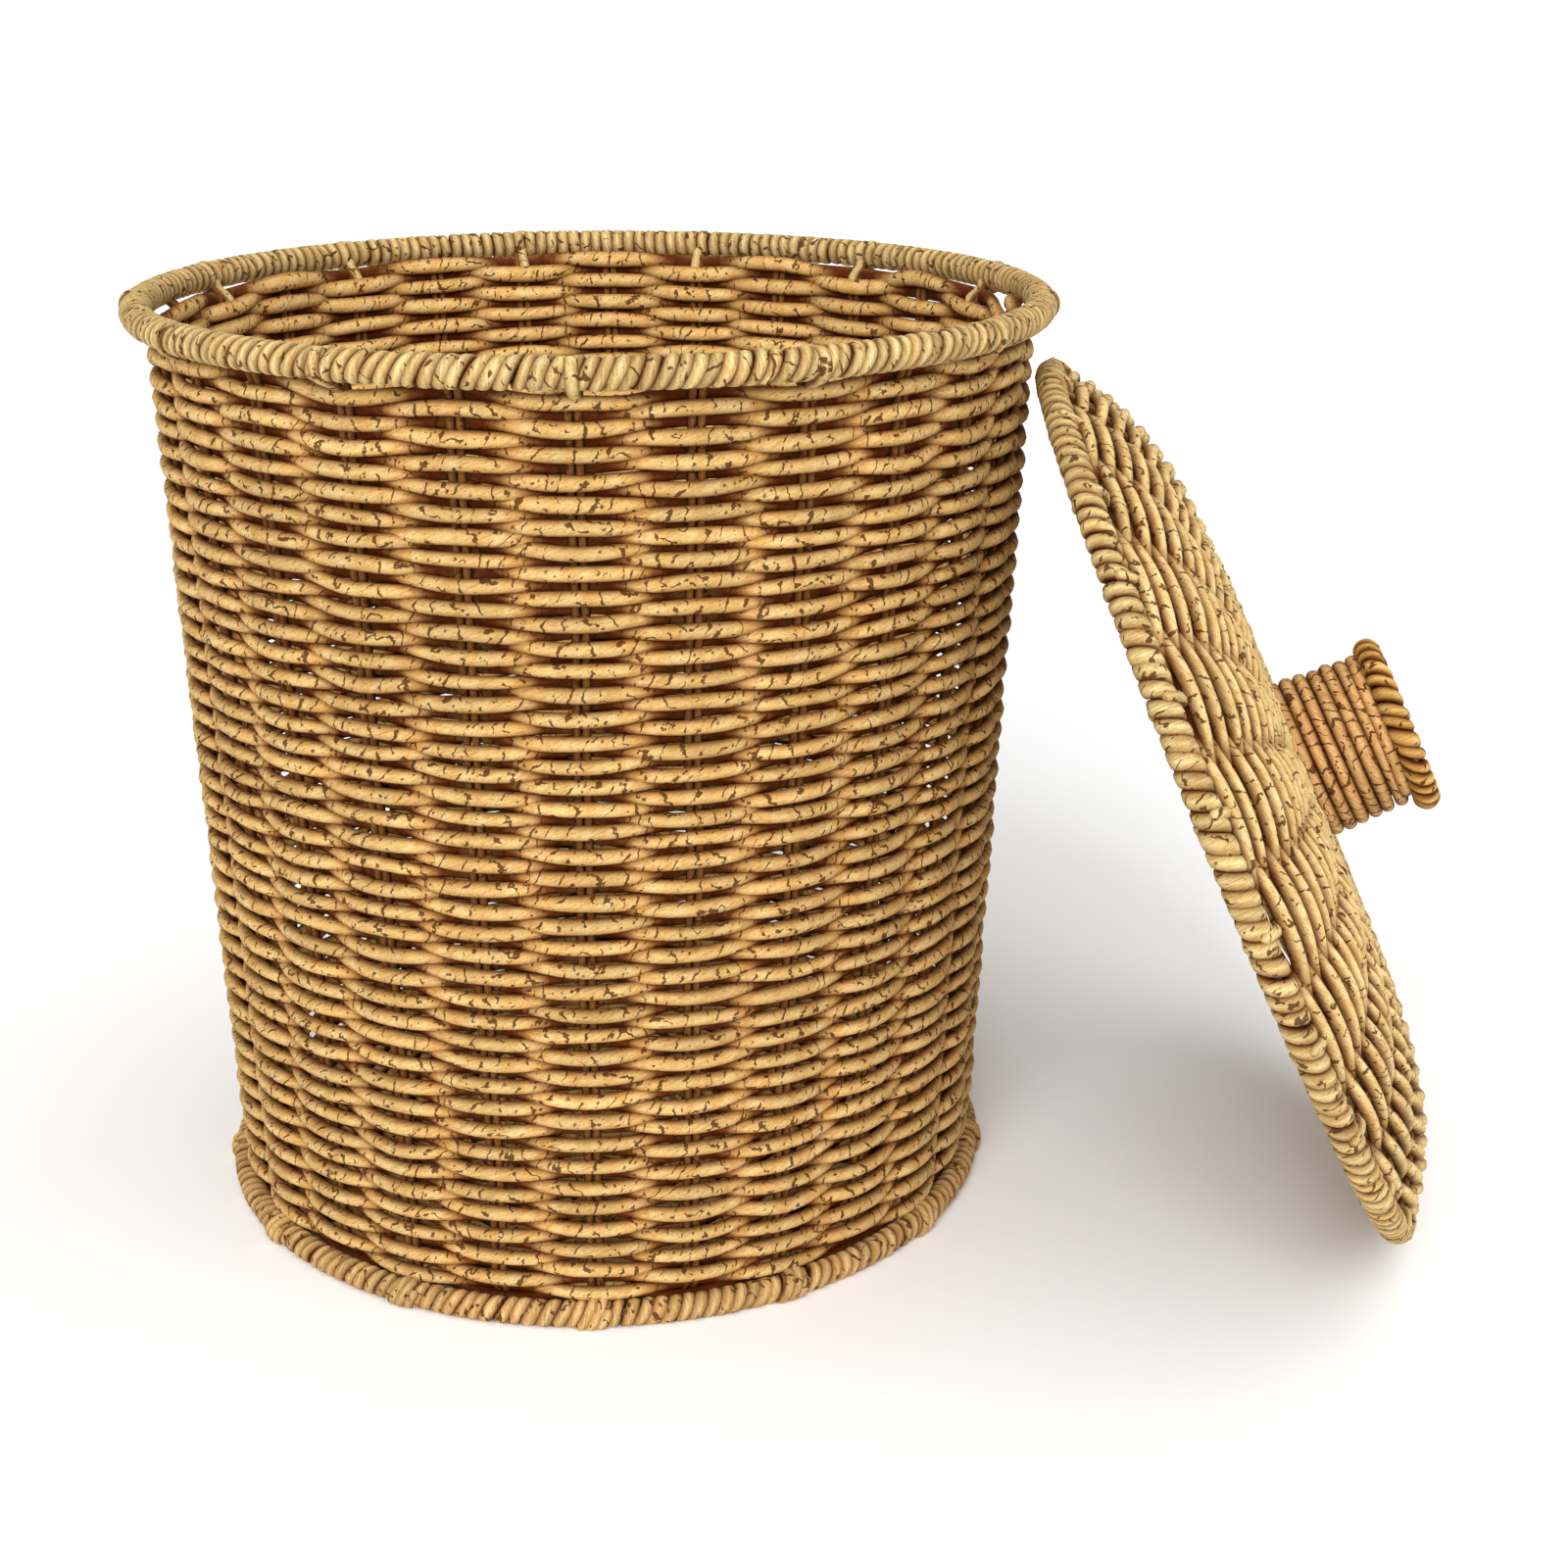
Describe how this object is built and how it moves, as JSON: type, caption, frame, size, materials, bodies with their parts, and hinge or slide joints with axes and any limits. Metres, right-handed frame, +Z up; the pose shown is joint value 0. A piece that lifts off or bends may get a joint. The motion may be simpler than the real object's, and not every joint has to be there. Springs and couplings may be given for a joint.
{
  "type": "lidded wastebasket",
  "caption": "Round tapered wastebasket woven of twisted paper cord on stakes and wire hoops, with a domed woven lid that has a cord-wound knob.",
  "frame": {"origin": "on the basket's axis, at the level of the floor it stands on", "axes": "+Z up along the basket's axis, +X towards the side on which the lid leans"},
  "size_m": [0.3857, 0.299, 0.2737],
  "materials": {
    "woven_cord": "matt twisted paper cord",
    "wrapping_cord": "matt twisted paper cord",
    "stake_cord": "matt stiff paper cord",
    "wire": "dull drawn wire"
  },
  "bodies": {
    "basket": {"wall_weave": "woven_cord", "base_weave": "woven_cord", "rim_wrap": "wrapping_cord", "rim_hoop": "wire", "foot_wrap": "wrapping_cord", "foot_hoop": "wire", "stake_01": "stake_cord", "stake_02": "stake_cord", "stake_03": "stake_cord", "stake_04": "stake_cord", "stake_05": "stake_cord", "stake_06": "stake_cord", "stake_07": "stake_cord", "stake_08": "stake_cord", "stake_09": "stake_cord", "stake_10": "stake_cord", "stake_11": "stake_cord", "stake_12": "stake_cord", "stake_13": "stake_cord", "stake_14": "stake_cord", "stake_15": "stake_cord", "stake_16": "stake_cord", "stake_17": "stake_cord", "stake_18": "stake_cord", "stake_19": "stake_cord", "stake_20": "stake_cord", "stake_21": "stake_cord", "stake_22": "stake_cord", "stake_23": "stake_cord", "stake_24": "stake_cord", "stake_25": "stake_cord", "stake_26": "stake_cord"},
    "lid": {"lid_weave": "woven_cord", "lid_wrap": "wrapping_cord", "lid_hoop": "wire", "knob_core": "stake_cord", "knob_winding": "woven_cord", "knob_cap": "woven_cord", "flange_hoop": "wire", "flange_winding": "wrapping_cord"}
  },
  "joints": [
    {"name": "lid_lift", "type": "slide", "parent": "basket", "child": "lid", "axis": [0.9076, -0.0746, 0.4131], "range_m": [0, 0.25]}
  ]
}
